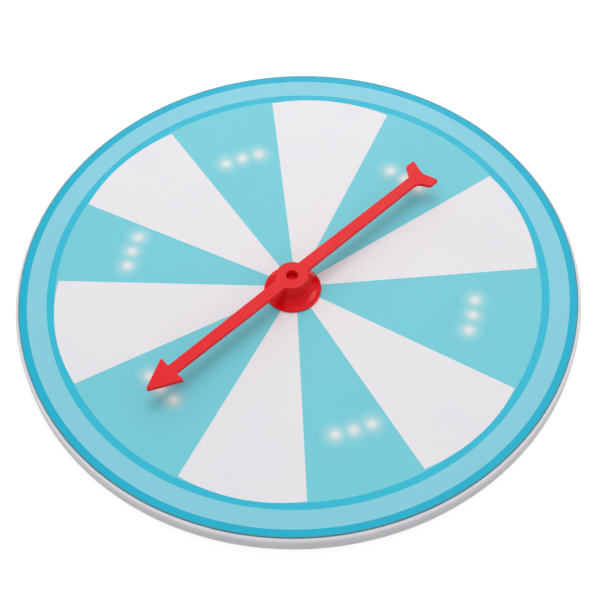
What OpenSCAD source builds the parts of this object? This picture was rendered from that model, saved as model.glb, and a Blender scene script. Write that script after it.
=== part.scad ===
// Carnival game wheel: a flat lit disc with a printed face and a spinning arrow.
// Millimetres. The disc lies on its back at z = 0, with its centre on the Z axis.
// +X is the right of the face, +Y the top of the face and +Z looks out of the face.

/* [Disc] */
// Outer diameter of the case
case_d = 152; // [145:0.1:165]
// Height of the line where the two shells meet
parting_h = 3.3; // [2.2:0.1:3.4]
// Rounding of the upper and lower outer edges
edge_round = 1; // [0.4:0.1:1.3]
// How far the lower shell stands back from the upper one at the seam
seam_step = 0.15; // [0.05:0.05:0.4]
// Thickness of the upper shell's side wall
side_wall = 1.6; // [1:0.1:2.4]
// Thickness of the plate behind the printed sheet
front_wall = 1; // [0.8:0.1:1.2]
// Thickness of the back plate
rear_wall = 1; // [0.8:0.1:1.1]
// Thickness of the lower shell's inner lip
lip_t = 1; // [0.6:0.1:1.6]
// Height of the lip above the seam
lip_h = 0.7; // [0.5:0.1:1.2]

/* [Printed sheet] */
// Diameter of the printed sheet
sheet_d = 150.2; // [130:0.1:151]
// Thickness of the printed sheet
sheet_t = 0.4; // [0.2:0.1:0.8]

/* [Spinner base] */
// Pivot to the side of the disc's centre, as photographed
pivot_x = -1.25; // [-4:0.05:4]
// Pivot above or below the disc's centre, as photographed
pivot_y = -1.6; // [-4:0.05:4]
// Diameter of the base's flange
flange_d = 15.3; // [12:0.1:20]
// Thickness of the flange at its rim
flange_rim = 0.6; // [0.4:0.1:1]
// Diameter of the collar that carries the arrow
collar_d = 7.8; // [6:0.1:8.6]
// Height of the collar above the face
collar_h = 2.4; // [1.8:0.1:3]
// Diameter of the spigot that goes through the sheet and the plate
spigot_d = 6; // [5:0.1:8]
// Diameter of the post that the arrow turns on
post_d = 2.6; // [2.2:0.1:3]
// How far the post's snap head stands out all round
snap_reach = 0.2; // [0.1:0.05:0.3]
// Height of the snap head
snap_h = 0.9; // [0.6:0.1:1.4]

/* [Arrow] */
// Angle of the arrow's tip at rest, from +X
rest_angle = 221; // [0:1:360]
// Height of the arrow's top above the face
arrow_h = 6.7; // [6:0.1:9]
// Pivot to the tip
tip_reach = 51; // [40:0.1:60]
// Pivot to the ends of the forked tail
tail_reach = 50.8; // [40:0.1:60]
// Thickness of the arm
arm_t = 1.1; // [0.8:0.1:1.6]
// Width of the arm where it leaves the boss
arm_root_w = 3.5; // [2.6:0.1:5]
// Width of the arm at its ends
arm_end_w = 3; // [2:0.1:4]
// Length of the head
head_l = 8.9; // [6:0.1:14]
// Width of the head across its barbs
head_w = 9.1; // [6:0.1:14]
// Width across the tail's prongs
tail_w = 9.6; // [6:0.1:14]
// Length of the tail from the arm to the prong ends
tail_l = 4.9; // [4.6:0.1:8]
// Length of the outer edge of each prong
prong_edge = 2.9; // [1.5:0.1:3.4]
// Depth of the hollow between the prongs
tail_notch = 1.5; // [0.5:0.1:2]
// Diameter of the round boss at the pivot
boss_d = 8.6; // [7:0.1:12]
// Depth of the wide part of the boss's hole
boss_cb = 2.8; // [2.2:0.1:3]

/* [Lights] */
// Radius of the ring that the lights stand on
light_r = 47.4; // [42:0.1:53]
// Distance between the lights of one group
light_pitch = 4.9; // [4.2:0.1:8]
// Diameter of each light hole in the plate
light_hole_d = 3; // [2:0.1:4]
// Length of a light along the ring
led_l = 3.5; // [2.5:0.1:3.8]
// Width of a light across the ring
led_w = 2.8; // [2:0.1:3]
// Height of a light
led_h = 0.9; // [0.5:0.1:1]
// Room between the lights and the plate above them
led_room = 0.3; // [0.2:0.05:0.4]
// Diameter of the lens in a light's top
lens_d = 2.2; // [1.2:0.1:2.4]
// Depth of the lens below a light's top
lens_depth = 0.2; // [0.1:0.05:0.3]

/* [Circuit board] */
// Width of the ring board inside the ring of lights
board_in_w = 6.4; // [5.8:0.1:7]
// Width of the ring board outside the ring of lights
board_out_w = 6.6; // [6:0.1:8]
// Thickness of the board
board_t = 0.8; // [0.6:0.1:0.9]
// Distance of the posts that hold the board outside the ring of lights
post_out = 3.6; // [3.2:0.1:4]
// Diameter of the posts under the board
board_post_d = 4; // [3:0.1:4.4]
// Diameter of the pegs that place the board
peg_d = 1.6; // [1:0.1:2]
// Diameter of the moulded drop over the chip
chip_d = 6.4; // [4:0.1:7]
// Height of the moulded drop
chip_h = 1; // [0.6:0.1:1.1]
// Length of a resistor
resistor_l = 2; // [1.6:0.1:2.4]
// Width of a resistor
resistor_w = 1.2; // [0.8:0.1:1.4]
// Height of a resistor
resistor_h = 0.5; // [0.3:0.1:0.8]

/* [Battery bay] */
// Diameter of a coin cell
cell_d = 20; // [16:0.5:20]
// Thickness of a coin cell
cell_t = 2.5; // [1.6:0.1:2.5]
// Gap between the two cells
cell_gap = 2; // [1:0.1:3]
// Room between the bay's wall and the board's inner edge
bay_gap = 1.5; // [0.5:0.1:4]
// Room round the cells
bay_room = 0.5; // [0.3:0.1:0.6]
// Thickness of the wall round the bay
bay_wall = 0.8; // [0.6:0.1:1]
// Thickness of the contact strips
strip_t = 0.2; // [0.15:0.05:0.25]
// Room between the upper contact strips and the plate above them
strip_room = 0.3; // [0.2:0.05:0.6]
// Width of the contact strips
strip_w = 3; // [2:0.1:4]
// Room round the battery door
door_room = 0.3; // [0.2:0.05:0.5]

/* [Switch] */
// Length of the switch body
switch_l = 9; // [8:0.1:10]
// Width of the switch body
switch_w = 5; // [4.4:0.1:6]
// Travel of the switch
switch_travel = 2; // [1:0.1:2.4]
// Length of the slider inside the body
slider_l = 3.4; // [2.4:0.1:3.8]
// Width of the slider inside the body
slider_w = 2.8; // [2.4:0.1:3]
// Length of the knob
knob_l = 1.6; // [1:0.1:2]
// Width of the knob
knob_w = 1.4; // [1:0.1:1.6]
// Depth of the finger recess round the knob
recess_depth = 0.5; // [0.2:0.1:0.6]
// Height of the knob's end above the table
knob_z = 0.1; // [0.05:0.05:0.3]

/* [Screws] */
// Radius of the ring of case screws
screw_ring_r = 64; // [62:0.5:68]
// Diameter of a screw's thread
screw_d = 2; // [1.6:0.1:2.2]
// Diameter of a screw's head
screw_head_d = 3.8; // [3:0.1:4]
// Height of a screw's head
screw_head_h = 0.6; // [0.4:0.1:0.7]
// Length of a screw's thread
screw_l = 2.9; // [2:0.1:3]
// Diameter of the bosses that take the screws
screw_boss_d = 5; // [4:0.1:5.6]
// Diameter of the washer under the pivot
washer_d = 10; // [8:0.1:14]
// Thickness of the washer under the pivot
washer_t = 0.5; // [0.3:0.1:0.8]
// Length of the pivot screw's thread
pivot_screw_l = 3.2; // [2:0.1:3.4]

/* [Fits] */
// Running clearance of the arrow on its post, all round
run_fit = 0.05; // [0.02:0.01:0.1]
// Clearance between fixed pieces that slip together, all round
slip_fit = 0.1; // [0.05:0.05:0.2]
// Clearance round the sliding switch knob
slide_fit = 0.3; // [0.2:0.05:0.4]
// Thrust gap between the arrow and its collar
thrust_gap = 0.1; // [0.05:0.05:0.3]

/* [Hidden] */
$fn = 72;
// Angle of each group of three lights, counted from +X, one in each coloured wedge
light_groups = [47.4, 107.3, 163, 220.1, 285.4, 344.6];
lights_in_group = 3;
light_count = len(light_groups) * lights_in_group;
// Middle of each pale wedge, where the posts that hold the board stand
post_angles = [17.1, 78.8, 136.2, 189.7, 255.2, 312.4];
screw_angles = [for (k = [0 : 5]) 30 + 60 * k];

// Overlap that joins a boss to its plate
bite = 0.3;
// The door, the cells and their strips set the height of the case
door_t = rear_wall;
cell_z = door_t + strip_t;
cell_top = cell_z + cell_t;
plate_z = cell_top + strip_t + strip_room;
case_h = plate_z + front_wall;
face_z = case_h + sheet_t;
case_r = case_d / 2;
rear_r = case_r - seam_step;
edge_r = min(edge_round, parting_h / 2, (case_h - parting_h) / 2, side_wall);
front_in_r = case_r - side_wall;
lip_r = front_in_r - slip_fit;
rear_in_r = lip_r - lip_t;
lip_top = min(parting_h + lip_h, plate_z - slip_fit);
board_in_r = light_r - board_in_w;
board_out_r = light_r + board_out_w;
board_mid_r = (board_in_r + board_out_r) / 2;
board_top = plate_z - led_room - led_h;
board_z = board_top - board_t;
post_ring_r = light_r + post_out;
resistor_room = 0.8;
light_pitch_angle = light_pitch / light_r * 180 / PI;

cell_r = cell_d / 2;
cell_x = cell_r + cell_gap / 2;
bay_r = cell_r + bay_room;
// Each cell's centre lies this far from the disc's centre, so that the bay stays inside the board
cell_reach = board_in_r - bay_gap - bay_wall - bay_r;
bay_y = sqrt(cell_reach * cell_reach - cell_x * cell_x);
door_r = bay_r - door_room;
cell_cap_h = 0.3;
cell_cap_inset = 1.4;
bay_wall_room = 0.4;
bay_wall_top = cell_top - bay_wall_room;
door_boss_d = screw_boss_d;
door_boss_room = 0.6;
door_screw_y = bay_r - door_boss_d / 2 - door_boss_room;
// The strips' feet end on the board, short of the lights
foot_room = 1.8;
foot_r = light_r - led_w / 2 - foot_room;
foot_x = cell_x + strip_w / 2;
strip_foot_y = sqrt(foot_r * foot_r - foot_x * foot_x);
strip_foot_l = 1.8;
bridge_room = 0.4;
bridge_w = min(strip_w * 2, 2 * (door_screw_y - door_boss_d / 2 - bridge_room));

head_sink = 0.1;
screw_seat = screw_head_h + head_sink;
pad_t = 0.8;
screw_pad_z = screw_seat + pad_t;
screw_tip_room = 0.2;
bore_top = screw_seat + screw_l + screw_tip_room;
screw_r = screw_d / 2;
hole_r = screw_r + slip_fit;
thread_r = screw_r + run_fit;
head_room = 0.2;
head_pocket_r = screw_head_d / 2 + head_room;
drive_w = 0.4;
drive_depth = 0.3;
drive_room = 0.76;
drive_l = screw_head_d - 2 * drive_room;

switch_y = board_mid_r;
switch_room_l = slider_l + switch_travel + 2 * slide_fit;
switch_room_w = slider_w + 2 * slide_fit;
switch_z = rear_wall + slip_fit;
slider_room = 0.1;
slider_z = switch_z + slider_room;
slider_t = 0.4;
switch_roof = 0.3;
slot_l = knob_l + switch_travel + 2 * slide_fit;
slot_w = knob_w + 2 * slide_fit;
recess_room = 2;

flange_r = flange_d / 2;
collar_r = collar_d / 2;
flare_w = flange_r - collar_r;
flare_h = collar_h - flange_rim;
flare_r = (flare_w * flare_w + flare_h * flare_h) / (2 * flare_h);
post_r = post_d / 2;
snap_r = post_r + snap_reach;
shoulder_h = arrow_h - boss_cb;
snap_z = shoulder_h + thrust_gap;
cb_r = snap_r + slip_fit;
spigot_hole_r = spigot_d / 2 + slip_fit;
pivot_bore_h = pivot_screw_l - washer_t + screw_tip_room;

// Where light number k stands, counted from 0, and which way it faces
function light_angle(k) = light_groups[floor(k / lights_in_group)]
    + (k % lights_in_group - (lights_in_group - 1) / 2) * light_pitch_angle;
function on_ring(r, a) = [r * cos(a), r * sin(a)];

// Points of an arc that rounds corner b of the line a, b, c
function unit(v) = v / norm(v);
function turn(d) = d > 180 ? d - 360 : d < -180 ? d + 360 : d;
function corner(a, b, c, r, steps) =
    let (u = unit(a - b), w = unit(c - b),
         half = acos(u * w) / 2,
         mid = b + unit(u + w) * r / sin(half),
         from = b + u * r / tan(half) - mid,
         to = b + w * r / tan(half) - mid,
         start = atan2(from[1], from[0]),
         sweep = turn(atan2(to[1], to[0]) - start))
    [for (k = [0 : steps]) mid + r * [cos(start + sweep * k / steps), sin(start + sweep * k / steps)]];

// Outline of the arrow along +X, one side from tip to tail: point and corner radius
tip_round = 0.5;
barb_round = 0.35;
barb_sweep = 0.25;
inner_round = 0.25;
prong_round = 0.5;
end_round = 0.35;
fork_round = 1.8;
waist_round = 1;
prong_taper = 0.15;
head_x = tip_reach - head_l;
arm_end_x = tail_l - tail_reach;
arrow_side = [
    [[head_x - barb_sweep, head_w / 2], barb_round],
    [[head_x, arm_end_w / 2], inner_round],
    [[0, arm_root_w / 2], waist_round],
    [[arm_end_x, arm_end_w / 2], fork_round],
    [[prong_edge - tail_reach, tail_w / 2], prong_round],
    [[-tail_reach, tail_w / 2 - prong_taper], end_round]];
arrow_loop = concat(
    [[[tip_reach, 0], tip_round]],
    arrow_side,
    [[[tail_notch - tail_reach, 0], fork_round]],
    [for (k = [len(arrow_side) - 1 : -1 : 0]) [[arrow_side[k][0][0], -arrow_side[k][0][1]], arrow_side[k][1]]]);
corner_steps = 5;
function at(k) = arrow_loop[(k + len(arrow_loop)) % len(arrow_loop)];
arrow_outline = [for (k = [0 : len(arrow_loop) - 1])
    each corner(at(k - 1)[0], at(k)[0], at(k + 1)[0], at(k)[1], corner_steps)];

// Two circles joined by straight sides, for the battery bay and its door
module bay_shape(r) {
    for (side = [-1, 1])
        translate([side * cell_x, 0])
            circle(r);
    square([2 * cell_x, 2 * r], center = true);
}

// Section of one shell with a rounded outer edge on top
module edge_section(r, h) {
    square([r - edge_r, h]);
    square([r, h - edge_r]);
    translate([r - edge_r, h - edge_r])
        circle(edge_r);
}

// Screw with its head at the back and its thread towards the face
module screw(length) {
    difference() {
        union() {
            cylinder(r = screw_head_d / 2, h = screw_head_h);
            translate([0, 0, screw_head_h - bite])
                cylinder(r = screw_r, h = length + bite);
        }
        for (a = [0, 90])
            rotate(a)
                translate([-drive_l / 2, -drive_w / 2, -bite])
                    cube([drive_l, drive_w, drive_depth + bite]);
    }
}

module face_sheet() {
    color("paleturquoise")
        difference() {
            translate([0, 0, case_h])
                cylinder(d = sheet_d, h = sheet_t, $fn = 180);
            translate([pivot_x, pivot_y, case_h - 1])
                cylinder(r = spigot_hole_r, h = sheet_t + 2);
        }
}

module front_shell() {
    color("white")
        difference() {
            union() {
                difference() {
                    translate([0, 0, parting_h])
                        rotate_extrude($fn = 180)
                            edge_section(case_r, case_h - parting_h);
                    translate([0, 0, parting_h - 1])
                        cylinder(r = front_in_r, h = plate_z - parting_h + 1, $fn = 180);
                }
                for (a = screw_angles)
                    rotate(a)
                        translate([screw_ring_r, 0, screw_pad_z])
                            cylinder(d = screw_boss_d, h = plate_z - screw_pad_z + bite);
                for (side = [-1, 1])
                    translate([0, bay_y + side * door_screw_y, door_t])
                        cylinder(d = door_boss_d, h = plate_z - door_t + bite);
                for (a = post_angles)
                    rotate(a)
                        translate([post_ring_r, 0, board_top])
                            cylinder(d = board_post_d, h = plate_z - board_top + bite);
            }
            for (k = [0 : light_count - 1])
                translate([each on_ring(light_r, light_angle(k)), plate_z - 1])
                    cylinder(d = light_hole_d, h = front_wall + 2);
            translate([pivot_x, pivot_y, plate_z - 1])
                cylinder(r = spigot_hole_r, h = front_wall + 2);
            for (a = screw_angles)
                rotate(a)
                    translate([screw_ring_r, 0, screw_pad_z - 1])
                        cylinder(r = thread_r, h = bore_top - screw_pad_z + 1);
            for (side = [-1, 1])
                translate([0, bay_y + side * door_screw_y, door_t - 1])
                    cylinder(r = thread_r, h = bore_top - door_t + 1);
            for (a = post_angles)
                rotate(a)
                    translate([post_ring_r, 0, board_top - 1])
                        cylinder(d = peg_d + 2 * slip_fit, h = 1 + peg_d / 2 + slip_fit);
        }
}

module rear_shell() {
    color("whitesmoke")
        difference() {
            union() {
                difference() {
                    union() {
                        translate([0, 0, parting_h])
                            mirror([0, 0, 1])
                                rotate_extrude($fn = 180)
                                    edge_section(rear_r, parting_h);
                        translate([0, 0, rear_wall])
                            cylinder(r = lip_r, h = lip_top - rear_wall, $fn = 180);
                    }
                    translate([0, 0, rear_wall])
                        cylinder(r = rear_in_r, h = case_h, $fn = 180);
                }
                for (a = screw_angles)
                    rotate(a)
                        translate([screw_ring_r, 0, rear_wall - bite])
                            cylinder(d = screw_boss_d, h = screw_pad_z - rear_wall + bite);
                for (a = post_angles)
                    rotate(a)
                        translate([post_ring_r, 0, rear_wall - bite]) {
                            cylinder(d = board_post_d, h = board_z - rear_wall + bite);
                            cylinder(d = peg_d, h = board_top + peg_d / 2 - rear_wall + bite);
                        }
                translate([0, bay_y, rear_wall - bite])
                    linear_extrude(bay_wall_top - rear_wall + bite)
                        bay_shape(bay_r + bay_wall);
            }
            translate([0, bay_y, -1])
                linear_extrude(case_h + 2)
                    bay_shape(bay_r);
            for (a = screw_angles)
                rotate(a)
                    translate([screw_ring_r, 0, -1]) {
                        cylinder(r = head_pocket_r, h = screw_seat + 1);
                        cylinder(r = hole_r, h = screw_pad_z + 2);
                    }
            translate([-slot_l / 2, switch_y - slot_w / 2, -1])
                cube([slot_l, slot_w, rear_wall + 2]);
            translate([-slot_l / 2 - recess_room, switch_y - slot_w / 2 - recess_room, -1])
                cube([slot_l + 2 * recess_room, slot_w + 2 * recess_room, recess_depth + 1]);
        }
}

module circuit_board() {
    color("seagreen")
        difference() {
            translate([0, 0, board_z])
                cylinder(r = board_out_r, h = board_t, $fn = 180);
            translate([0, 0, board_z - 1])
                cylinder(r = board_in_r, h = board_t + 2, $fn = 180);
            for (a = post_angles)
                rotate(a)
                    translate([post_ring_r, 0, board_z - 1])
                        cylinder(d = peg_d + 2 * slip_fit, h = board_t + 2);
        }
}

module control_chip() {
    drop_r = chip_d / 2;
    ball_r = (drop_r * drop_r + chip_h * chip_h) / (2 * chip_h);
    chip_angle = 27;
    color("black")
        translate([each on_ring(board_mid_r, chip_angle), board_top])
            intersection() {
                translate([0, 0, chip_h - ball_r])
                    sphere(r = ball_r);
                cylinder(d = chip_d + 1, h = chip_h + 1);
            }
}

module resistors() {
    resistor_r = light_r + led_w / 2 + resistor_room + resistor_w / 2;
    color("dimgray")
        for (a = light_groups)
            rotate(a)
                translate([resistor_r - resistor_w / 2, -resistor_l / 2, board_top])
                    cube([resistor_w, resistor_l, resistor_h]);
}

module led(k) {
    color("lightyellow")
        rotate(light_angle(k))
            translate([light_r, 0, board_top])
                difference() {
                    translate([-led_w / 2, -led_l / 2, 0])
                        cube([led_w, led_l, led_h]);
                    translate([0, 0, led_h - lens_depth])
                        cylinder(d = lens_d, h = lens_depth + 1);
                }
}

// Coin cell with its wide positive can up or down
module coin_cell(can_up) {
    can_h = cell_t - cell_cap_h;
    cylinder(r = can_up ? cell_r - cell_cap_inset : cell_r, h = can_up ? cell_t / 2 : can_h);
    translate([0, 0, can_up ? cell_cap_h : cell_t / 2])
        cylinder(r = can_up ? cell_r : cell_r - cell_cap_inset, h = can_up ? can_h : cell_t / 2);
}

module coin_cell_left() {
    color("silver")
        translate([-cell_x, bay_y, cell_z])
            coin_cell(true);
}

module coin_cell_right() {
    color("silver")
        translate([cell_x, bay_y, cell_z])
            coin_cell(false);
}

// Strip that lies on a cell and steps down onto the board
module contact(side) {
    step_y = strip_foot_y - strip_foot_l;
    translate([side * cell_x - strip_w / 2, 0, 0]) {
        translate([0, bay_y - cell_r / 2, cell_top])
            cube([strip_w, step_y + strip_t - bay_y + cell_r / 2, strip_t]);
        translate([0, step_y, board_top])
            cube([strip_w, strip_t, cell_top + strip_t - board_top]);
        translate([0, step_y, board_top])
            cube([strip_w, strip_foot_l, strip_t]);
    }
}

module contact_positive() {
    color("gold")
        contact(-1);
}

module contact_negative() {
    color("gold")
        contact(1);
}

module contact_bridge() {
    color("gold")
        translate([-cell_x - cell_r / 2, bay_y - bridge_w / 2, door_t])
            cube([2 * cell_x + cell_r, bridge_w, strip_t]);
}

module battery_door() {
    color("gainsboro")
        difference() {
            translate([0, bay_y, 0])
                linear_extrude(door_t)
                    bay_shape(door_r);
            for (side = [-1, 1])
                translate([0, bay_y + side * door_screw_y, -1]) {
                    cylinder(r = head_pocket_r, h = screw_seat + 1);
                    cylinder(r = hole_r, h = door_t + 2);
                }
        }
}

module door_screws() {
    color("silver")
        for (side = [-1, 1])
            translate([0, bay_y + side * door_screw_y, head_sink])
                screw(screw_l);
}

module case_screws() {
    color("silver")
        for (a = screw_angles)
            rotate(a)
                translate([screw_ring_r, 0, head_sink])
                    screw(screw_l);
}

module switch_body() {
    body_h = board_z - switch_z;
    color("lightgray")
        translate([0, switch_y, switch_z])
            difference() {
                translate([-switch_l / 2, -switch_w / 2, 0])
                    cube([switch_l, switch_w, body_h]);
                translate([-switch_room_l / 2, -switch_room_w / 2, -1])
                    cube([switch_room_l, switch_room_w, body_h - switch_roof + 1]);
            }
}

module switch_knob() {
    color("black")
        translate([-switch_travel / 2, switch_y, 0]) {
            translate([-slider_l / 2, -slider_w / 2, slider_z])
                cube([slider_l, slider_w, slider_t]);
            translate([-knob_l / 2, -knob_w / 2, knob_z])
                cube([knob_l, knob_w, slider_z - knob_z + slider_t / 2]);
        }
}

module spinner_base() {
    spigot_bottom = plate_z + slip_fit - face_z;
    color("crimson")
        translate([pivot_x, pivot_y, face_z])
            difference() {
                union() {
                    rotate_extrude()
                        difference() {
                            square([flange_r, collar_h]);
                            translate([flange_r, flange_rim + flare_r])
                                circle(flare_r, $fn = 180);
                        }
                    translate([0, 0, spigot_bottom])
                        cylinder(d = spigot_d, h = bite - spigot_bottom);
                    translate([0, 0, collar_h - bite])
                        cylinder(r = post_r, h = snap_z - collar_h + 2 * bite);
                    translate([0, 0, snap_z])
                        cylinder(r1 = snap_r, r2 = post_r, h = snap_h);
                }
                translate([0, 0, spigot_bottom - 1])
                    cylinder(r = thread_r, h = pivot_bore_h + 1);
            }
}

module pivot_washer() {
    color("silver")
        translate([pivot_x, pivot_y, plate_z - washer_t])
            difference() {
                cylinder(d = washer_d, h = washer_t);
                translate([0, 0, -1])
                    cylinder(r = hole_r, h = washer_t + 2);
            }
}

module pivot_screw() {
    color("silver")
        translate([pivot_x, pivot_y, plate_z - washer_t - screw_head_h])
            screw(pivot_screw_l);
}

module spinner_arrow() {
    color("red")
        translate([pivot_x, pivot_y, face_z])
            rotate(rest_angle)
                difference() {
                    union() {
                        translate([0, 0, arrow_h - arm_t])
                            linear_extrude(arm_t)
                                polygon(arrow_outline);
                        translate([0, 0, collar_h + thrust_gap])
                            cylinder(d = boss_d, h = arrow_h - collar_h - thrust_gap);
                    }
                    translate([0, 0, collar_h - 1])
                        cylinder(r = post_r + run_fit, h = arrow_h);
                    translate([0, 0, shoulder_h])
                        cylinder(r = cb_r, h = boss_cb + 1);
                }
}

face_sheet();
front_shell();
rear_shell();
circuit_board();
control_chip();
resistors();
for (k = [1 : light_count])
    led(k - 1);
coin_cell_left();
coin_cell_right();
contact_positive();
contact_negative();
contact_bridge();
battery_door();
door_screws();
case_screws();
switch_body();
switch_knob();
spinner_base();
pivot_washer();
pivot_screw();
spinner_arrow();
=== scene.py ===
# %% [markdown]
# # A carnival game wheel
# This lesson dresses a flat lit game disc: a white two-part case, a printed face that small lights
# shine through, and a red arrow that spins on a flanged base. The solid model is already there as a
# fixed frame, so each step either gives a solid its finish or puts a finer mesh in its place.
# Every piece is drawn in millimetres, which are easy to read, and is scaled to metres once at the end.

# %% Load the frame
import math

import bmesh
import bpy
from mathutils import Matrix, Vector


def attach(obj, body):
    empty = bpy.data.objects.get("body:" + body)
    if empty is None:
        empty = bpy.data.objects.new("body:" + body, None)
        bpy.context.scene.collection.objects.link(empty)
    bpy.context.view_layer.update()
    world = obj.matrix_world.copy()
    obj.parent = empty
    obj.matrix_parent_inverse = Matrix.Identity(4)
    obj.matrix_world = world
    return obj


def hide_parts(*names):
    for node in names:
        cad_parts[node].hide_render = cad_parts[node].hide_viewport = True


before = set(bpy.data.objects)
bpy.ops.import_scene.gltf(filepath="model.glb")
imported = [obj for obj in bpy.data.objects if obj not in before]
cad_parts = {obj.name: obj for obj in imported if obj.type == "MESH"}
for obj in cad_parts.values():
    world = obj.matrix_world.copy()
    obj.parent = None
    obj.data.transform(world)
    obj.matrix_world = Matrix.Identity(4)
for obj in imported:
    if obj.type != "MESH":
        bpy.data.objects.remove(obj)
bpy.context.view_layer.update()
MM = 0.001

# %% [markdown]
# ## The camera
# The rings of the face show as ellipses. Their flatness says how high the camera stands, and the way the
# small rings sit off-centre in the large ones says how near it is. A long lens looks down at about
# 56 degrees, a little turned about its own axis. Three directions make the camera's matrix: its right,
# its up and its back.

# %% Set the camera
LENS = 96.22
SENSOR = 36
NEAREST_SEEN = 0.01
CAMERA_PLACE = Vector((0.000545, -0.247258, 0.359692))
CAMERA_RIGHT = Vector((0.99883, -0.03994, -0.02731))
CAMERA_UP = Vector((0.04838, 0.82453, 0.56374))

camera_data = bpy.data.cameras.new("camera")
camera_data.lens = LENS
camera_data.sensor_width = SENSOR
camera_data.clip_start = NEAREST_SEEN
camera = bpy.data.objects.new("camera", camera_data)
bpy.context.scene.collection.objects.link(camera)
camera_back = CAMERA_RIGHT.cross(CAMERA_UP)
camera_turn = Matrix((CAMERA_RIGHT, CAMERA_UP, camera_back)).transposed().to_4x4()
camera.matrix_world = Matrix.Translation(CAMERA_PLACE) @ camera_turn
bpy.context.scene.camera = camera
print("camera stands", round(CAMERA_PLACE.length, 3), "m from the middle of the disc")

# %% [markdown]
# ## Colours
# Colours are easiest to choose as a screen shows them, from 0 to 255. The shader nodes want linear light
# instead, so each channel goes through the screen's curve once.

# %% Turn screen colours into light
FULL = 255
CURVE_KNEE = 0.04045
CURVE_SLOPE = 12.92
CURVE_LIFT = 0.055
CURVE_POWER = 2.4


def linear(share):
    """One channel of a screen colour, from 0 to 1, as the amount of light it stands for."""
    if share <= CURVE_KNEE:
        return share / CURVE_SLOPE
    return ((share + CURVE_LIFT) / (1 + CURVE_LIFT)) ** CURVE_POWER


def ink(red, green, blue):
    """A screen colour in the linear numbers that the nodes want."""
    return (*(linear(channel / FULL) for channel in (red, green, blue)), 1.0)


def grey(level):
    """A plain grey that is already linear."""
    return (level, level, level, 1.0)


print("middle grey of 128 holds", round(ink(128, 128, 128)[0], 3), "of full light")

# %% [markdown]
# ## Nodes without the clutter
# A finish here is one Principled shader and a handful of texture nodes. A small class keeps the calls
# short: `add` makes a node and fills its inputs by name, `grain` is noise of a given size in millimetres
# stretched to a useful range, `ramp` is a colour ramp, and `blend` mixes two colours. Everything reads
# Object coordinates, so a grain of 0.4 mm stays 0.4 mm on every piece.

# %% A class for finishes
NOISE_RANGE = (0.3, 0.7)
MIX_INPUTS = (0, 6, 7)
MIX_OUTPUT = 2


class Finish:
    """One procedural material, with short calls for the nodes that most finishes share."""

    def __init__(self, name, **values):
        self.material = bpy.data.materials.new(name)
        self.material.use_nodes = True
        self.nodes = self.material.node_tree.nodes
        self.shader = self.nodes["Principled BSDF"]
        for socket, value in values.items():
            self.set(socket.replace("_", " "), value)
        self.place = self.add("TexCoord").outputs["Object"]

    def feed(self, value, socket):
        if isinstance(value, bpy.types.NodeSocket):
            self.material.node_tree.links.new(value, socket)
        else:
            socket.default_value = value

    def set(self, socket, value):
        self.feed(value, self.shader.inputs[socket])

    def add(self, kind, feeds=None, **settings):
        node = self.nodes.new("ShaderNode" + kind)
        for setting, value in settings.items():
            setattr(node, setting, value)
        for socket, value in (feeds or {}).items():
            self.feed(value, node.inputs[socket])
        return node

    def work(self, operation, *values):
        return self.add("Math", dict(enumerate(values)), operation=operation).outputs["Value"]

    def distance(self, place, middle):
        return self.add("VectorMath", {0: place, 1: middle}, operation="DISTANCE").outputs["Value"]

    def stretched(self, scale):
        return self.add("Mapping", {"Vector": self.place, "Scale": scale}).outputs["Vector"]

    def reach(self, value, start, end, low, high):
        feeds = {"Value": value, "From Min": start, "From Max": end, "To Min": low, "To Max": high}
        return self.add("MapRange", feeds).outputs["Result"]

    def grain(self, size, low=0, high=1, detail=2, place=None):
        feeds = {"Vector": place or self.place, "Scale": 1 / (size * MM), "Detail": detail}
        noise = self.add("TexNoise", feeds)
        return self.reach(noise.outputs["Fac"], *NOISE_RANGE, low, high)

    def ramp(self, factor, stops, sharp=False):
        node = self.add("ValToRGB", {"Fac": factor})
        node.color_ramp.interpolation = "CONSTANT" if sharp else "LINEAR"
        elements = node.color_ramp.elements
        while len(elements) < len(stops):
            elements.new(1.0)
        for element, (position, colour) in zip(elements, stops):
            element.position = position
            element.color = colour
        return node.outputs["Color"]

    def blend(self, factor, first, second, mode="MIX"):
        node = self.add("Mix", data_type="RGBA", blend_type=mode)
        for index, value in zip(MIX_INPUTS, (factor, first, second)):
            self.feed(value, node.inputs[index])
        return node.outputs[MIX_OUTPUT]

    def bump(self, height, depth):
        feeds = {"Height": height, "Distance": depth * MM}
        self.set("Normal", self.add("Bump", feeds).outputs["Normal"])


# %% [markdown]
# ## Moulded plastic
# The case, the arrow, its base and the switch knob are all injection moulded. Such a part is never one
# flat colour: the melt leaves faint clouds a few millimetres wide, the tool's fine texture scatters the
# light, and handling polishes patches of it. So the colour drifts between two near shades, the roughness
# drifts with a second noise, and a very fine noise lifts the surface by a few thousandths of a millimetre.

# %% Make the plastics
MELT_CLOUDS = 9
WORN_PATCHES = 5
FINE = 3


def moulded(name, shade, light, gloss, texture, depth, **values):
    finish = Finish(name, **values)
    clouds = finish.grain(MELT_CLOUDS, detail=FINE)
    finish.set("Base Color", finish.blend(clouds, shade, light))
    finish.set("Roughness", finish.grain(WORN_PATCHES, *gloss, detail=FINE))
    finish.bump(finish.grain(texture), depth)
    return finish


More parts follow.
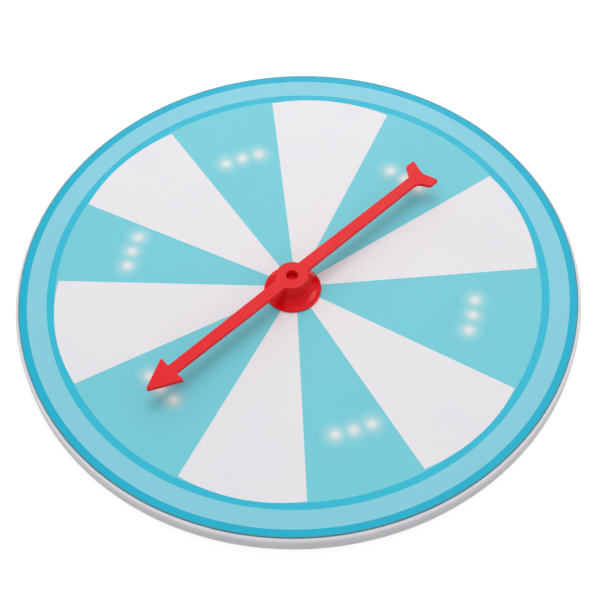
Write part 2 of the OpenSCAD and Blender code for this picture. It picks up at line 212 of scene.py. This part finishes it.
case_white = moulded("case_white", ink(226, 223, 228), ink(231, 228, 232),
                     gloss=(0.38, 0.50), texture=0.35, depth=0.006)
# The rear shell and the door take a copy of the case white a few levels darker and bluer: painted shade for
# the lower half of the rim.
shaded_back_white = moulded("shaded_back_white", ink(222, 218, 226), ink(227, 224, 230),
                     gloss=(0.42, 0.54), texture=0.35, depth=0.008)
arrow_red = moulded("arrow_red", ink(221, 14, 22), ink(227, 19, 27),
                    gloss=(0.42, 0.52), texture=0.5, depth=0.004, Specular_IOR_Level=0.2)
base_red = moulded("base_red", ink(218, 8, 20), ink(226, 12, 24),
                   gloss=(0.16, 0.24), texture=0.8, depth=0.003, Specular_IOR_Level=0.12)
knob_black = moulded("knob_black", ink(30, 30, 32), ink(40, 40, 42),
                     gloss=(0.42, 0.55), texture=0.25, depth=0.008)
resin_black = moulded("resin_black", ink(22, 22, 23), ink(30, 29, 29),
                      gloss=(0.22, 0.40), texture=1.2, depth=0.02)
film_edge = moulded("film_edge", ink(58, 118, 130), ink(82, 142, 154),
                    gloss=(0.6, 0.75), texture=0.3, depth=0.01, Specular_IOR_Level=0.1)
plastics = (case_white, shaded_back_white, arrow_red, base_red, knob_black, resin_black, film_edge)
print("plastics:", [finish.material.name for finish in plastics])

# %% [markdown]
# ## Metals
# The screws are zinc plated, with a cloudy blue-grey skin. The cells are drawn from nickel plated steel,
# the contact strips are rolled brass with lines along their length, and the switch can is tinned. Each is
# a metallic Principled shader whose roughness follows a noise, stretched where the metal was rolled.

# %% Make the metals
SKIN_CLOUDS = 2.5
SKIN_DETAIL = 4
SKIN_DEPTH = 0.002


def plated(name, shade, light, gloss, size, stretch=(1, 1, 1)):
    finish = Finish(name, Metallic=1.0)
    lines = finish.grain(size, detail=SKIN_DETAIL, place=finish.stretched(stretch))
    finish.set("Base Color", finish.blend(finish.grain(SKIN_CLOUDS), shade, light))
    finish.set("Roughness", finish.reach(lines, 0, 1, *gloss))
    finish.bump(lines, SKIN_DEPTH)
    return finish


screw_zinc = plated("screw_zinc", ink(176, 180, 186), ink(204, 206, 208), gloss=(0.22, 0.40), size=0.5)
cell_nickel = plated("cell_nickel", ink(196, 195, 190), ink(216, 214, 208), gloss=(0.18, 0.34), size=0.3)
strip_brass = plated("strip_brass", ink(206, 172, 104), ink(224, 192, 126),
                     gloss=(0.20, 0.36), size=0.4, stretch=(1, 8, 1))
can_tin = plated("can_tin", ink(190, 190, 188), ink(212, 212, 210),
                 gloss=(0.24, 0.42), size=0.6, stretch=(6, 1, 1))
print("metals:", [finish.material.name for finish in (screw_zinc, cell_nickel, strip_brass, can_tin)])

# %% [markdown]
# ## The print
# The face is a thin printed sheet. Six pale wedges and six coloured ones meet near the middle, three
# rings run round the edge inside a thin dark teal line at the very edge, and the lights under the sheet
# show as soft warm spots. The print isn't quite true on the real object: the wedges are unequal and meet a
# little off-centre, so each edge has its own angle. The outer end of a pale wedge is an arc of its own. It
# is rounder than the ring, so it laps over the ring's line in the middle and leaves some ground colour at
# its corners.

# %% Set out the print
SHEET_R = 75.1
FACE_Z = 5.6
TURN = 360
WEDGE_MEET = (-0.38, -0.69)
PALE_WEDGES = ((1.99, 31.73), (63.96, 93.81), (121.19, 151.10), (174.97, 205.03), (240.48, 270.25),
               (297.58, 327.37))
INK_AQUA = ink(116, 203, 215)
INK_PALE = ink(231, 228, 232)
LINE_R = 65.43
RINGS = ((LINE_R, (0, -0.14, 0), ink(46, 185, 212)),
         (67.5, (0, -0.07, 0), ink(133, 205, 221)),
         (72.8, (0, -0.07, 0), ink(18, 176, 206)),
         (74.72, (0, 0, 0), ink(68, 150, 168)))
ARC_R = 48.76
ARC_OUT = 16.98
ARC_DROP = Vector((0, -0.14, 0))
ARC_AT = 0.56


def outward(degrees):
    """A step of one out from the middle at that angle."""
    turn = math.radians(degrees)
    return Vector((math.cos(turn), math.sin(turn), 0))


def arc_middle(start, end):
    """The middle of the arc that ends a pale wedge. Its crown lies ARC_AT of the way across the wedge."""
    crown = Vector((*WEDGE_MEET, 0)) + outward(start + ARC_AT * (end - start)) * LINE_R
    return crown.normalized() * ARC_OUT + ARC_DROP


widths = [round(end - start, 1) for start, end in PALE_WEDGES]
print("pale wedges in degrees:", widths)

# %% [markdown]
# ## Wedges and rings as nodes
# A radial gradient turns the angle into a number from 0 to 1. A colour ramp could cut it up, but a renderer
# reads a ramp in 256 steps, which would put an edge up to a degree off. So one Compare node for each pale
# wedge asks whether the angle lies near its middle. The gradient is turned until its own seam falls inside
# a coloured wedge. The arcs and the rings ask for the distance to a middle instead. The order is that of
# the ink: ground, line, pale wedges, then the two outer rings and the dark edge line.

# %% Draw wedges and rings
GRADIENT_TURN = -17.0
FILM_SHEEN = 0.15

film = Finish("printed_film", Specular_IOR_Level=FILM_SHEEN)
flat_place = film.stretched((1, 1, 0))
meet_feeds = {"Vector": film.place, "Location": Vector((*WEDGE_MEET, 0)) * MM,
              "Rotation": (0, 0, math.radians(GRADIENT_TURN))}
meet = film.add("Mapping", meet_feeds, vector_type="TEXTURE").outputs["Vector"]
around = film.add("TexGradient", {"Vector": meet}, gradient_type="RADIAL").outputs["Fac"]


def turn_share(degrees):
    """Where an angle falls on the turned radial gradient, which passes its own +X at a half."""
    return ((degrees - GRADIENT_TURN) / TURN + 0.5) % 1


def beyond(middle, radius):
    """One where the print lies farther than radius from middle, and nought elsewhere."""
    return film.work("GREATER_THAN", film.distance(flat_place, Vector(middle) * MM), radius * MM)


pale = 0.0
for start, end in PALE_WEDGES:
    inside = film.work("COMPARE", around, turn_share((start + end) / 2), (end - start) / 2 / TURN)
    wedge = film.work("SUBTRACT", inside, beyond(arc_middle(start, end), ARC_R))
    pale = film.work("MAXIMUM", wedge, pale)
printed = INK_AQUA
for radius, middle, colour in RINGS:
    printed = film.blend(beyond(middle, radius), printed, colour)
    if radius == LINE_R:
        printed = film.blend(pale, printed, INK_PALE)
print("print:", len(PALE_WEDGES), "pale wedges and", len(RINGS), "rings in", len(film.nodes), "nodes")

# %% [markdown]
# ## Lights through the print
# Eighteen small lights stand under the sheet, three in each coloured wedge. What shows is a warm white
# core about 2.5 mm wide in a halo twice as wide. Painting spots by hand would need a fine mesh. Instead
# a loop measures the distance to each light and keeps the least, and a ramp turns that distance into a
# fade. It pales the colour of the print, and warm emission adds the rest, so that a spot still glows in
# the arrow's shadow. The groups don't stand on one true circle, so each has its own angle and radius.

# %% Let the lights glow
LIGHT_PITCH = 4.9
LIGHT_GROUPS = ((47.4, 46.7), (107.3, 46.8), (163.0, 46.8), (220.1, 47.7), (285.4, 47.5), (344.6, 47.8))
GLOW_WARM = ink(255, 240, 228)
GLOW_CORE = ink(183, 190, 192)
GLOW_LIGHT = 0.3
SPREAD = 4.6
FADE = ((0.0, 1.0), (0.1, 0.91), (0.2, 0.72), (0.3, 0.51), (0.4, 0.34), (0.5, 0.23), (0.6, 0.15),
        (0.8, 0.06), (1.0, 0.0))

light_spots = []
for degrees, radius in LIGHT_GROUPS:
    pitch_turn = math.degrees(LIGHT_PITCH / radius)
    light_spots += [outward(degrees + step * pitch_turn) * radius for step in (-1, 0, 1)]
nearest = SHEET_R * MM
for spot in light_spots:
    nearest = film.work("MINIMUM", film.distance(flat_place, spot * MM), nearest)
share = film.reach(nearest, 0.0, SPREAD * MM, 0, 1)
glow = film.ramp(share, [(at, grey(level)) for at, level in FADE])
film.set("Emission Color", GLOW_WARM)
film.set("Emission Strength", film.work("MULTIPLY", glow, GLOW_LIGHT))
print("glow:", len(light_spots), "lights")

# %% [markdown]
# ## Paper grain
# Seen close, the print has the fine tooth of a matt film: specks well under a millimetre that are a few
# per cent lighter or darker, and wide faint clouds where the ink lies thicker. Both multiply the colour.
# The same specks drive the bump, so the light breaks up where the colour does.

# %% Give the print its tooth
TOOTH_SIZE = 0.45
TOOTH_DEPTH = 0.01
SPECK_DARK = grey(0.96)
INK_CLOUDS = 22
CLOUD_DARK = (0.975, 0.98, 0.985, 1.0)
CLEAR = grey(1.0)
FILM_PATCHES = 3
FILM_GLOSS = (0.36, 0.46)

tooth = film.grain(TOOTH_SIZE, detail=FINE)
specks = film.ramp(tooth, [(0.0, SPECK_DARK), (1.0, CLEAR)])
clouds = film.ramp(film.grain(INK_CLOUDS, detail=FINE), [(0.0, CLOUD_DARK), (1.0, CLEAR)])
inked = film.blend(1.0, film.blend(1.0, printed, specks, "MULTIPLY"), clouds, "MULTIPLY")
film.set("Base Color", film.blend(glow, inked, GLOW_CORE))
film.set("Roughness", film.grain(FILM_PATCHES, *FILM_GLOSS))
film.bump(tooth, TOOTH_DEPTH)
print("the print takes", len(film.nodes), "nodes")

# %% [markdown]
# ## From profile to mesh
# Most round pieces start as half of their cross-section. `section` draws that outline as one face and
# rounds chosen corners with a vertex bevel. `lathe` throws the face away, keeps its outline and spins it
# once round an upright axis. A full spin leaves a seam where it meets itself, so the doubles are merged and
# the normals turned outwards before anything else happens. `soften` bevels the real corners of a mesh.

# %% Helpers for meshes
ROUNDS = 3
SPIN_STEPS = 180
MERGE = 0.0005
SLIVER = 0.002
CORNER = 35
FLAT = 0.03
UP = Vector((0, 0, 1))


def section(points, rounded, rise=False):
    """A flat face through the points. rounded gives the corner offset for the points that are softened."""
    bm = bmesh.new()
    corners = [bm.verts.new((x, 0, y) if rise else (x, y, 0)) for x, y in points]
    bm.faces.new(corners)
    for corner, offset in zip(corners, rounded):
        if offset:
            bmesh.ops.bevel(bm, geom=[corner], offset=offset, offset_type="OFFSET", affect="VERTICES",
                            segments=2 * ROUNDS, profile=0.5, material=-1)
    return bm


def tidy(bm):
    bmesh.ops.remove_doubles(bm, verts=bm.verts, dist=MERGE)
    bmesh.ops.recalc_face_normals(bm, faces=bm.faces)
    return bm


def lathe(points, rounded=None):
    """Spins a section once round the upright line through the middle."""
    bm = section(points, rounded or [0] * len(points), rise=True)
    bmesh.ops.delete(bm, geom=bm.faces[:], context="FACES_ONLY")
    bmesh.ops.spin(bm, geom=bm.edges[:], cent=(0, 0, 0), axis=UP, angle=2 * math.pi, steps=SPIN_STEPS,
                   use_merge=True)
    return tidy(bm)


def dissolve_flat(bm, degrees=FLAT):
    """Makes whole faces of neighbours that turn by less than that angle."""
    bmesh.ops.dissolve_limit(bm, angle_limit=math.radians(degrees), verts=bm.verts, edges=bm.edges)


def soften(bm, width):
    """Bevels every edge whose faces turn by more than CORNER, and clears the slivers that it leaves."""
    limit = math.radians(CORNER)
    edges = [e for e in bm.edges if len(e.link_faces) == 2 and e.calc_face_angle(0) > limit]
    bmesh.ops.bevel(bm, geom=edges, offset=width, offset_type="OFFSET", affect="EDGES", segments=ROUNDS,
                    profile=0.5, material=-1, clamp_overlap=True, loop_slide=False)
    bmesh.ops.remove_doubles(bm, verts=bm.verts, dist=SLIVER)
    bmesh.ops.dissolve_degenerate(bm, dist=SLIVER, edges=bm.edges)
    return bm


# %% [markdown]
# ## From mesh to piece
# A finished mesh is scaled to metres and shaded smooth except at real corners. Then the frame is told
# which body it rides on, and the solids it stands for are hidden.

# %% Make a piece of a mesh
SHARP = 40


def make_piece(name, bm, body, slot, nodes, *finishes):
    bmesh.ops.scale(bm, vec=(MM, MM, MM), verts=bm.verts)
    mesh = bpy.data.meshes.new(name)
    bm.to_mesh(mesh)
    bm.free()
    if "custom_normal" in mesh.attributes:
        mesh.attributes.remove(mesh.attributes["custom_normal"])
    mesh.shade_smooth()
    mesh.set_sharp_from_angle(angle=math.radians(SHARP))
    for finish in finishes:
        mesh.materials.append(finish.material)
    piece = bpy.data.objects.new(name, mesh)
    bpy.context.scene.collection.objects.link(piece)
    piece.modifiers.new("even_shading", "WEIGHTED_NORMAL").keep_sharp = True
    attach(piece, body)
    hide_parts(*nodes)
    print(name, "rides on", body, "with", len(mesh.polygons), "faces")


# %% [markdown]
# ## The printed sheet
# The sheet is 0.4 mm thick, with a hole for the base's spigot. Its upper edge is a little rolled over by
# the die that cut it. The section is spun, and the faces on the rolled edge and the outer wall take the
# second finish, a dark teal that shows as a thin line round the face.

# %% Cut the sheet
SHEET_T = 0.4
SHEET_HOLE_R = 3.1
CUT_ROLL = 0.1
sheet_bottom = FACE_Z - SHEET_T
sheet_points = [(SHEET_HOLE_R, sheet_bottom), (SHEET_R, sheet_bottom), (SHEET_R, FACE_Z),
                (SHEET_HOLE_R, FACE_Z)]
sheet = lathe(sheet_points, [0, 0, CUT_ROLL, 0])
for face in sheet.faces:
    middle = face.calc_center_median()
    face.material_index = int(math.hypot(middle.x, middle.y) > SHEET_R - CUT_ROLL)
make_piece("printed_sheet", sheet, "case", "printed_sheet", ["face_sheet"], film, film_edge)

# %% [markdown]
# ## The flanged base
# The red base is one moulding: a thin round flange, a hollow flare up to a collar, and a post with a snap
# head that the arrow clips over. All of it is round, so one section makes it. The flare is a hollow arc
# that leaves the rim level, and a loop lays its points out.

# %% Spin the base
PIVOT = (-1.25, -1.6)
FLANGE_R = 7.65
FLANGE_RIM = 0.6
COLLAR_R = 3.9
COLLAR_H = 2.4
SPIGOT_R = 3.0
SPIGOT_BOTTOM = -1.3
POST_R = 1.3
SNAP_Z = 4.0
SNAP_TOP = 4.9
SNAP_R = 1.5
THREAD_R = 1.0
BORE_TOP = 0.7
FLARE_STEPS = 14
BASE_ROUNDS = {(FLANGE_R, 0): 0.24, (FLANGE_R, FLANGE_RIM): 0.2, (SNAP_R, SNAP_Z): 0.05}

base_points = [(0, BORE_TOP), (THREAD_R, BORE_TOP), (THREAD_R, SPIGOT_BOTTOM), (SPIGOT_R, SPIGOT_BOTTOM),
               (SPIGOT_R, 0), (FLANGE_R, 0), (FLANGE_R, FLANGE_RIM)]
flare_w = FLANGE_R - COLLAR_R
flare_h = COLLAR_H - FLANGE_RIM
flare_r = (flare_w ** 2 + flare_h ** 2) / (2 * flare_h)
flare_turn = math.asin(flare_w / flare_r)
for step in range(1, FLARE_STEPS + 1):
    lean = flare_turn * step / FLARE_STEPS
    base_points.append((FLANGE_R - flare_r * math.sin(lean), FLANGE_RIM + flare_r * (1 - math.cos(lean))))
base_points += [(POST_R, COLLAR_H), (POST_R, SNAP_Z), (SNAP_R, SNAP_Z), (POST_R, SNAP_TOP), (0, SNAP_TOP)]
base = lathe(base_points, [BASE_ROUNDS.get(point, 0) for point in base_points])
bmesh.ops.translate(base, verts=base.verts, vec=(*PIVOT, FACE_Z))
make_piece("flanged_base", base, "case", "red_plastic", ["spinner_base"], base_red)

# %% [markdown]
# ## The arrow
# The arrow is a flat moulding: a barbed head, a slim arm that tapers both ways from a round boss, and a
# forked tail. Half of its outline needs only eight points, each with the radius of its round. A mirror
# makes the other half, vertex bevels round the corners, and an extrusion gives the thickness.

# %% Cut out the arrow
ARROW_TOP = 6.7
ARM_T = 1.1
ARROW_HALF = ((51.0, 0, 0.5), (41.85, 4.55, 0.35), (42.1, 1.5, 0.25), (0, 1.75, 1), (-45.9, 1.5, 1.8),
              (-47.9, 4.8, 0.5), (-50.8, 4.65, 0.35), (-49.3, 0, 1.8))


def corner_offset(before, here, after):
    """How far from a corner its round starts."""
    spot = Vector(here[:2])
    angle = (Vector(before[:2]) - spot).angle(Vector(after[:2]) - spot)
    return here[2] / math.tan(angle / 2)


outline = list(ARROW_HALF) + [(x, -y, radius) for x, y, radius in reversed(ARROW_HALF) if y]
neighbours = zip(outline[-1:] + outline[:-1], outline, outline[1:] + outline[:1])
offsets = [corner_offset(*corners) for corners in neighbours]
arrow = section([corner[:2] for corner in outline], offsets)
raised = bmesh.ops.extrude_face_region(arrow, geom=arrow.faces[:])["geom"]
raised_verts = [element for element in raised if isinstance(element, bmesh.types.BMVert)]
bmesh.ops.translate(arrow, verts=raised_verts, vec=UP * ARM_T)
bmesh.ops.translate(arrow, verts=arrow.verts, vec=UP * (ARROW_TOP - ARM_T))
tidy(arrow)
print("arrow outline:", len(outline), "corners")

# %% [markdown]
# ## The arrow's boss
# The boss is a short cylinder joined with a Boolean, and a stepped pin cut from it leaves the bore and the
# wide hole that the snap head sits in. One edge bevel at the end softens everything the way a mould does.
# The arrow is then turned to where it rests and set on its post.

# %% Add the boss and its stepped hole
BOSS_R = 4.3
BOSS_BOTTOM = 2.5
BORE_R = 1.35
WIDE_R = 1.6
WIDE_BOTTOM = 3.9
OVER = 1.0
ARROW_FLAT = 0.2
ARROW_SOFT = 0.22
REST_TURN = math.radians(221)


def combine(bm, tool, operation):
    """Joins or cuts one closed mesh with another through a Boolean modifier, and returns the result."""
    solids = []
    for source in (bm, tool):
        mesh = bpy.data.meshes.new("solid")
        source.to_mesh(mesh)
        source.free()
        solids.append(bpy.data.objects.new("solid", mesh))
        bpy.context.scene.collection.objects.link(solids[-1])
    boolean = solids[0].modifiers.new("combine", "BOOLEAN")
    boolean.object = solids[1]
    boolean.operation = operation
    boolean.solver = "EXACT"
    seen = bpy.context.evaluated_depsgraph_get()
    result = bmesh.new()
    result.from_mesh(solids[0].evaluated_get(seen).data)
    for solid in solids:
        bpy.data.meshes.remove(solid.data)
    bmesh.ops.remove_doubles(result, verts=result.verts, dist=MERGE)
    return result


boss = lathe([(0, BOSS_BOTTOM), (BOSS_R, BOSS_BOTTOM), (BOSS_R, ARROW_TOP), (0, ARROW_TOP)])
pin = lathe([(0, BOSS_BOTTOM - OVER), (BORE_R, BOSS_BOTTOM - OVER), (BORE_R, WIDE_BOTTOM),
             (WIDE_R, WIDE_BOTTOM), (WIDE_R, ARROW_TOP + OVER), (0, ARROW_TOP + OVER)])
arrow = combine(combine(arrow, boss, "UNION"), pin, "DIFFERENCE")
dissolve_flat(arrow, ARROW_FLAT)
soften(arrow, ARROW_SOFT)
bmesh.ops.rotate(arrow, verts=arrow.verts, cent=(0, 0, 0), matrix=Matrix.Rotation(REST_TURN, 3, "Z"))
bmesh.ops.translate(arrow, verts=arrow.verts, vec=(*PIVOT, FACE_Z))
make_piece("moulded_arrow", arrow, "arrow", "red_plastic", ["spinner_arrow"], arrow_red)

# %% [markdown]
# ## Door, screws and resin drop
# These solids already have the right shape, with pockets and screw slots. What they lack is the small
# radius that every mould and every cutting tool leaves, which is what catches the light. A copy of the
# solid's mesh is merged, its flat triangles are dissolved into whole faces, and its edges are bevelled.

# %% Soften copies of the solids
DOOR_SOFT = 0.15
SCREW_SOFT = 0.07
DROP_SOFT = 0.05


def solid_copy(node):
    bm = bmesh.new()
    bm.from_mesh(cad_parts[node].data)
    bmesh.ops.scale(bm, vec=(1 / MM, 1 / MM, 1 / MM), verts=bm.verts)
    bmesh.ops.remove_doubles(bm, verts=bm.verts, dist=MERGE)
    dissolve_flat(bm)
    for face in bm.faces:
        face.material_index = 0
    return bm


softened = (("door_panel", "battery_door", DOOR_SOFT, "door", "white_plastic", shaded_back_white),
            ("shell_screws", "case_screws", SCREW_SOFT, "case", "screw_steel", screw_zinc),
            ("panel_screws", "door_screws", SCREW_SOFT, "door", "screw_steel", screw_zinc),
            ("resin_drop", "control_chip", DROP_SOFT, "case", "black_resin", resin_black))
for name, node, width, body, slot, finish in softened:
    make_piece(name, soften(solid_copy(node), width), body, slot, [node], finish)

# %% [markdown]
# ## Case shells
# The two shells are mouldings too, full of bosses and pockets, so they start as softened copies. But the
# triangles on the rounding of their rim are too uneven to shine evenly. So each shell is cut off short of
# its rim, and a rim from the lathe is joined to it. Each row of a rim is a radius, a height and a round.

# %% Turn the rims
CASE_R = 75.97
CASE_TOP = FACE_Z - SHEET_T
CASE_ROUND = 0.95
FRONT_IN_R = 74.4
PLATE_Z = 4.2
BACK_R = 75.84
BACK_T = 1.0
SEAM_Z = 3.3
SEAM_SOFT = 0.1
LIP_R = 74.3
LIP_IN_R = 73.3
LIP_TOP = 4.0
CORE_R = 70.0
CORE_LAP = 0.4
FRONT_SOFT = 0.1
BACK_SOFT = 0.15
FRONT_RIM = ((CORE_R, PLATE_Z, 0), (FRONT_IN_R, PLATE_Z, 0), (FRONT_IN_R, SEAM_Z, 0),
             (CASE_R, SEAM_Z, SEAM_SOFT), (CASE_R, CASE_TOP, CASE_ROUND), (CORE_R, CASE_TOP, 0))
BACK_RIM = ((CORE_R, 0, 0), (BACK_R, 0, CASE_ROUND), (BACK_R, SEAM_Z, SEAM_SOFT), (LIP_R, SEAM_Z, 0),
            (LIP_R, LIP_TOP, SEAM_SOFT), (LIP_IN_R, LIP_TOP, SEAM_SOFT), (LIP_IN_R, BACK_T, 0),
            (CORE_R, BACK_T, 0))


def with_rim(bm, rim):
    """Keeps the middle of a shell, brings its faces level with the turned rim's, and joins the rim to it."""
    reach = CORE_R + CORE_LAP
    disc = lathe([(0, -OVER), (reach, -OVER), (reach, CASE_TOP + OVER), (0, CASE_TOP + OVER)])
    core = combine(bm, disc, "INTERSECT")
    for vert in core.verts:
        for level in (rim[0][1], rim[-1][1]):
            if abs(vert.co.z - level) < 2 * SLIVER:
                vert.co.z = level
    turned = lathe([point[:2] for point in rim], [point[2] for point in rim])
    shell = combine(core, turned, "UNION")
    dissolve_flat(shell)
    return tidy(shell)


front = with_rim(soften(solid_copy("front_shell"), FRONT_SOFT), FRONT_RIM)
make_piece("case_front", front, "case", "white_plastic", ["front_shell"], case_white)
back = with_rim(soften(solid_copy("rear_shell"), BACK_SOFT), BACK_RIM)
make_piece("case_back", back, "case", "white_plastic", ["rear_shell"], shaded_back_white)

# %% [markdown]
# ## The switch knob
# The knob sits sunk in its slot and is pushed with a fingertip or a pen, so its end has grip grooves. They
# run across the slide. Each is cut from a copy of the solid with a thin block.

# %% Groove the knob
KNOB_X = -1.0
KNOB_Y = 47.5
KNOB_END = 0.1
KNOB_SOFT = 0.05
GROOVES = (-0.5, 0.0, 0.5)
GROOVE_SIZE = (0.22, 3, 0.5)

knob = solid_copy("switch_knob")
for shift in GROOVES:
    cutter = bmesh.new()
    bmesh.ops.create_cube(cutter, size=1)
    bmesh.ops.scale(cutter, vec=GROOVE_SIZE, verts=cutter.verts)
    bmesh.ops.translate(cutter, verts=cutter.verts, vec=(KNOB_X + shift, KNOB_Y, KNOB_END))
    knob = combine(knob, cutter, "DIFFERENCE")
make_piece("slide_knob", soften(knob, KNOB_SOFT), "switch", "black_plastic", ["switch_knob"], knob_black)

# %% [markdown]
# ## The board
# The board is green lacquer over copper. Two ring tracks feed the lights, and they show through the
# lacquer as paler green bands. They are flush, so a sharp ramp over the distance to the middle draws them.

# %% Finish the board
BOARD_R = 54.0
BOARD_TRACKS = ((43.2, 44.6), (50.4, 51.8))
LACQUER = ink(22, 98, 58)
TRACK = ink(46, 132, 78)
LACQUER_COAT = 0.4
MOTTLE_SIZE = 1.5
MOTTLE_DARK = grey(0.85)
LACQUER_PATCHES = 2
LACQUER_GLOSS = (0.28, 0.45)
LACQUER_WAVES = 0.6
LACQUER_DEPTH = 0.01

board_green = Finish("board_green", Coat_Weight=LACQUER_COAT)
board_share = 1 / (BOARD_R * MM)
span = board_green.distance(board_green.stretched((board_share, board_share, 0)), (0, 0, 0))
stops = [(0.0, LACQUER)]
for inner, outer in BOARD_TRACKS:
    stops += [(inner / BOARD_R, TRACK), (outer / BOARD_R, LACQUER)]
tracks = board_green.ramp(span, stops, sharp=True)
mottle = board_green.ramp(board_green.grain(MOTTLE_SIZE, detail=FINE), [(0.0, MOTTLE_DARK), (1.0, CLEAR)])
board_green.set("Base Color", board_green.blend(1.0, tracks, mottle, "MULTIPLY"))
board_green.set("Roughness", board_green.grain(LACQUER_PATCHES, *LACQUER_GLOSS))
board_green.bump(board_green.grain(LACQUER_WAVES), LACQUER_DEPTH)
print("board:", len(BOARD_TRACKS), "ring tracks")

# %% [markdown]
# ## The lights
# The lights are white bodies with a well of yellow phosphor sunk in the top. The well's floor lies lower
# than the body's top, so the height alone tells the two apart: yellow fades in just under the floor and
# out again above it.

# %% Finish the lights
LIGHT_TOP = 3.9
WELL_DEPTH = 0.2
WELL_UNDER = 0.04
LIGHT_BODY = ink(238, 236, 228)
PHOSPHOR = ink(242, 206, 84)
BODY_PATCHES = 0.8
BODY_GLOSS = (0.3, 0.5)
BODY_TEXTURE = 0.3
BODY_DEPTH = 0.004

lamp_white = Finish("lamp_white")
height = lamp_white.add("SeparateXYZ", {"Vector": lamp_white.place}).outputs["Z"]
well_floor = LIGHT_TOP - WELL_DEPTH
above = lamp_white.reach(height, well_floor * MM, (well_floor + WELL_DEPTH / 2) * MM, 1, 0)
below = lamp_white.reach(height, (well_floor - WELL_UNDER) * MM, well_floor * MM, 0, 1)
in_well = lamp_white.work("MULTIPLY", above, below)
lamp_white.set("Base Color", lamp_white.blend(in_well, LIGHT_BODY, PHOSPHOR))
lamp_white.set("Roughness", lamp_white.grain(BODY_PATCHES, *BODY_GLOSS))
lamp_white.bump(lamp_white.grain(BODY_TEXTURE), BODY_DEPTH)
print("the wells' floor lies at", round(well_floor, 2), "mm")

# %% [markdown]
# ## Finishes for the solids that stay
# The rest of the inside keeps its solids. Each takes a finish in its material slot.

# %% Hand the finishes out
kept_solids = {"circuit_board": board_green, "resistors": resin_black,
               "coin_cell_left": cell_nickel, "coin_cell_right": cell_nickel,
               "contact_positive": strip_brass, "contact_negative": strip_brass,
               "contact_bridge": strip_brass, "switch_body": can_tin,
               "pivot_washer": screw_zinc, "pivot_screw": screw_zinc}
kept_solids.update({f"led_{k + 1}": lamp_white for k in range(len(light_spots))})
for node, finish in kept_solids.items():
    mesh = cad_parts[node].data
    mesh.materials.clear()
    mesh.materials.append(finish.material)
print(len(kept_solids), "solids keep their shape and take a finish")

# %% [markdown]
# ## The floor
# The disc lies on a plain white floor. Seen directly, the floor glows until it is a little brighter than
# white, so the background stays clean and only the dark contact shadow is left on it. Light that falls on
# the disc doesn't see that glow.

# %% Lay the floor
FLOOR_GAP = 0.05
FLOOR_HALF = 3.0
FLOOR_CELLS = 4
FLOOR_ROUGH = 0.9
FLOOR_CLOUDS = 40
FLOOR_GLOW = 0.82
WHITE = grey(1.0)


def seen_directly(tree):
    """One for rays from the camera, also by mirror or glass, and nought for light that falls on things."""
    path = tree.nodes.new("ShaderNodeLightPath")
    total = path.outputs["Is Camera Ray"]
    for name in ("Is Glossy Ray", "Is Transmission Ray"):
        longest = tree.nodes.new("ShaderNodeMath")
        longest.operation = "MAXIMUM"
        tree.links.new(total, longest.inputs[0])
        tree.links.new(path.outputs[name], longest.inputs[1])
        total = longest.outputs["Value"]
    return total


floor_white = Finish("floor_white", Roughness=FLOOR_ROUGH)
floor_clouds = floor_white.grain(FLOOR_CLOUDS)
floor_white.set("Base Color", floor_white.blend(floor_clouds, ink(136, 136, 136), ink(139, 139, 139)))
floor_white.set("Emission Color", WHITE)
direct = seen_directly(floor_white.material.node_tree)
floor_white.set("Emission Strength", floor_white.work("MULTIPLY", direct, FLOOR_GLOW))
floor_bm = bmesh.new()
bmesh.ops.create_grid(floor_bm, x_segments=FLOOR_CELLS, y_segments=FLOOR_CELLS, size=FLOOR_HALF)
bmesh.ops.translate(floor_bm, verts=floor_bm.verts, vec=UP * -FLOOR_GAP * MM)
floor_mesh = bpy.data.meshes.new("floor")
floor_bm.to_mesh(floor_mesh)
floor_bm.free()
floor_mesh.materials.append(floor_white.material)
floor = bpy.data.objects.new("floor", floor_mesh)
bpy.context.scene.collection.objects.link(floor)
print("the floor lies", FLOOR_GAP, "mm under the disc")

# %% [markdown]
# ## Sky and lamps
# A pale sky fills the scene. A soft lamp stands close above the disc and a little behind, so the far side
# is lighter and the arrow's shadow falls towards the viewer. Two more lamps give only sheen: a low one far
# behind for plastic and print, and one on the right for the glossy flange. Each row is a name, a place,
# a width and a power, and whether the lamp gives only sheen.

# %% Light the scene
SKY = 0.8
LAMPS = (("top_lamp", Vector((-0.005, 0.11, 0.37)), 0.2, 0.36, False),
         ("back_lamp", Vector((0.03, 0.66, 0.54)), 0.4, 2.55, True),
         ("side_lamp", Vector((0.35, 0.19, 0.58)), 0.3, 1.4, True))

world = bpy.data.worlds.new("sky")
bpy.context.scene.world = world
world.use_nodes = True
sky_tree = world.node_tree
sky = sky_tree.nodes["Background"]
sky.inputs["Color"].default_value = WHITE
lift = sky_tree.nodes.new("ShaderNodeMapRange")
lift.inputs["To Min"].default_value = SKY
lift.inputs["To Max"].default_value = 1.0
sky_tree.links.new(seen_directly(sky_tree), lift.inputs["Value"])
sky_tree.links.new(lift.outputs["Result"], sky.inputs["Strength"])

for name, stand, size, power, sheen_only in LAMPS:
    lamp_data = bpy.data.lights.new(name, "AREA")
    lamp_data.shape = "DISK"
    lamp_data.size = size
    lamp_data.energy = power
    lamp = bpy.data.objects.new(name, lamp_data)
    lamp.location = stand
    lamp.rotation_euler = stand.to_track_quat("Z", "Y").to_euler()
    lamp.visible_diffuse = not sheen_only
    lamp.visible_glossy = sheen_only
    bpy.context.scene.collection.objects.link(lamp)
bpy.context.scene.view_settings.view_transform = "Standard"
print("lamps:", [f"{name} {round(stand.length, 2)} m off" for name, stand, *_ in LAMPS])
